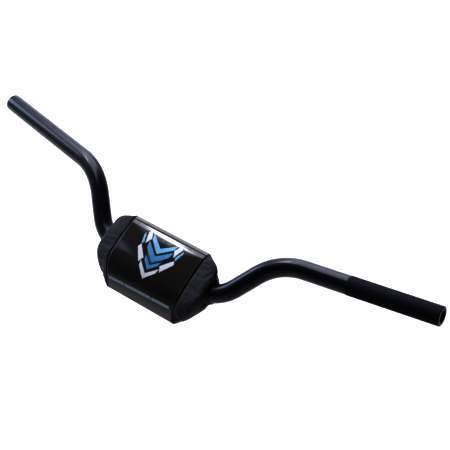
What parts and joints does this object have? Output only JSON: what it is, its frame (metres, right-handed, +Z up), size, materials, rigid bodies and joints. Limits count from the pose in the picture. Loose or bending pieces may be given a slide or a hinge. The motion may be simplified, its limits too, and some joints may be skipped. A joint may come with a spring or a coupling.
{
  "type": "motocross handlebar",
  "caption": "Bent, tapered motocross handlebar tube with a sewn foam pad closed round its clamp section.",
  "frame": {"origin": "centre of the clamp section, on the tube's axis", "axes": "+X along the clamp to the side with the knurled grip, +Y back to the rider, +Z up with the grips level"},
  "size_m": [0.6864, 0.1274, 0.1095],
  "materials": {
    "tube": "gloss black over aluminium, one grip end knurled and matte",
    "pad_vinyl": "gloss black printed vinyl",
    "pad_fabric": "matte slate woven fabric",
    "pad_band": "ribbed grey tape",
    "pad_lining": "matte black woven cover fabric",
    "pad_strip": "black hook and loop tape",
    "pad_foam": "dark grey closed-cell foam"
  },
  "bodies": {
    "root": {"handlebar_tube": "tube", "pad_foam": "pad_foam", "pad_front_panel": "pad_vinyl", "pad_end_panel_left": "pad_fabric", "pad_end_panel_right": "pad_fabric", "pad_top_band": "pad_band", "pad_bottom_panel": "pad_lining", "pad_upper_flap": "pad_lining", "pad_lower_flap": "pad_lining", "pad_loop_strip": "pad_strip", "pad_hook_strip": "pad_strip"}
  },
  "joints": []
}
